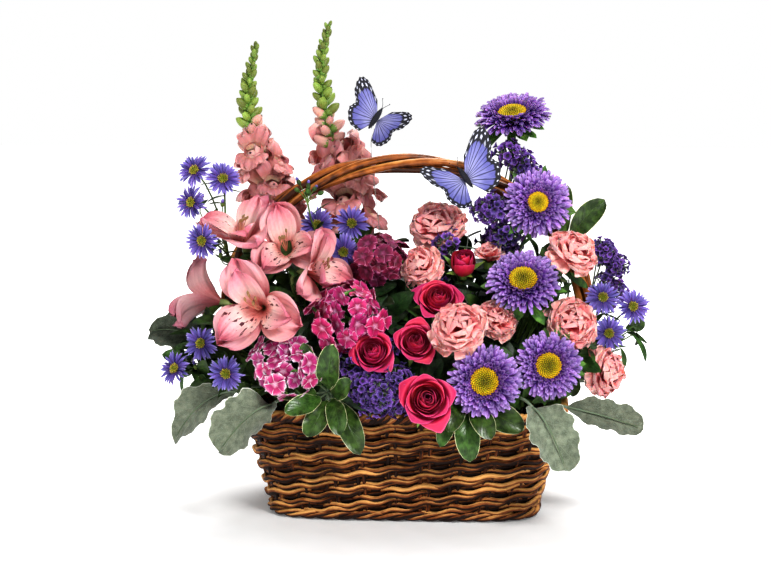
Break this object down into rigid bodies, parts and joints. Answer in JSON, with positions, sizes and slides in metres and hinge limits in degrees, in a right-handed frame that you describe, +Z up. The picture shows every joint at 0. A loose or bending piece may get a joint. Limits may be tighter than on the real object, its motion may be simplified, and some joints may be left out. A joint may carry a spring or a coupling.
{
  "type": "flower basket arrangement",
  "caption": "Rounded willow basket with a roped arch handle, a liner and wet foam, filled with asters, roses, carnations, alstroemeria and snapdragons, with butterflies on wires.",
  "frame": {"origin": "centre of the basket's flat underside", "axes": "+Z up, +X along the length of the basket and its handle, -Y towards the front of the arrangement"},
  "size_m": [0.4935, 0.3234, 0.4843],
  "materials": {
    "willow": "satin",
    "willow_rod": "satin",
    "liner": "satin",
    "foam": "matte",
    "aster_purple": "matte",
    "daisy_violet": "matte",
    "rose_pink": "matte",
    "carnation_pink": "matte",
    "sweet_william": "matte",
    "alstroemeria_pink": "satin",
    "snapdragon_pink": "matte",
    "statice_purple": "matte",
    "silver_leaf": "matte",
    "edged_leaf": "satin",
    "wing": "matte",
    "butterfly_body": "matte",
    "wire": "satin"
  },
  "bodies": {
    "root": {"alstroemeria_1": "alstroemeria_pink", "alstroemeria_2": "alstroemeria_pink", "alstroemeria_3": "alstroemeria_pink", "alstroemeria_4": "alstroemeria_pink", "alstroemeria_5": "alstroemeria_pink", "basket_base": "willow", "basket_border": "willow_rod", "basket_wall": "willow", "butterfly_1_body": "butterfly_body", "butterfly_1_wings": "wing", "butterfly_1_wire": "wire", "butterfly_2_body": "butterfly_body", "butterfly_2_wings": "wing", "butterfly_2_wire": "wire", "carnation_1": "carnation_pink", "carnation_2": "carnation_pink", "carnation_3": "carnation_pink", "carnation_4": "carnation_pink", "carnation_5": "carnation_pink", "carnation_6": "carnation_pink", "carnation_7": "carnation_pink", "carnation_bud": "carnation_pink", "china_aster_1": "aster_purple", "china_aster_2": "aster_purple", "china_aster_3": "aster_purple", "china_aster_4": "aster_purple", "china_aster_5": "aster_purple", "dusty_miller_1": "silver_leaf", "dusty_miller_2": "silver_leaf", "dusty_miller_3": "silver_leaf", "dusty_miller_4": "silver_leaf", "dusty_miller_5": "silver_leaf", "dusty_miller_6": "silver_leaf", "handle_rod_1": "willow_rod", "handle_rod_2": "willow_rod", "handle_rod_3": "willow_rod", "handle_rod_4": "willow_rod", "liner": "liner", "pittosporum_1": "edged_leaf", "pittosporum_2": "edged_leaf", "pittosporum_3": "edged_leaf", "small_aster_spray_1": "daisy_violet", "small_aster_spray_2": "daisy_violet", "small_aster_spray_3": "daisy_violet", "small_aster_spray_4": "daisy_violet", "snapdragon_1": "snapdragon_pink", "snapdragon_2": "snapdragon_pink", "spray_rose_1": "rose_pink", "spray_rose_2": "rose_pink", "spray_rose_3": "rose_pink", "spray_rose_4": "rose_pink", "spray_rose_bud": "rose_pink", "statice_1": "statice_purple", "statice_2": "statice_purple", "statice_3": "statice_purple", "statice_4": "statice_purple", "sweet_william_1": "sweet_william", "sweet_william_2": "sweet_william", "sweet_william_3": "sweet_william", "wet_foam": "foam"}
  },
  "joints": []
}
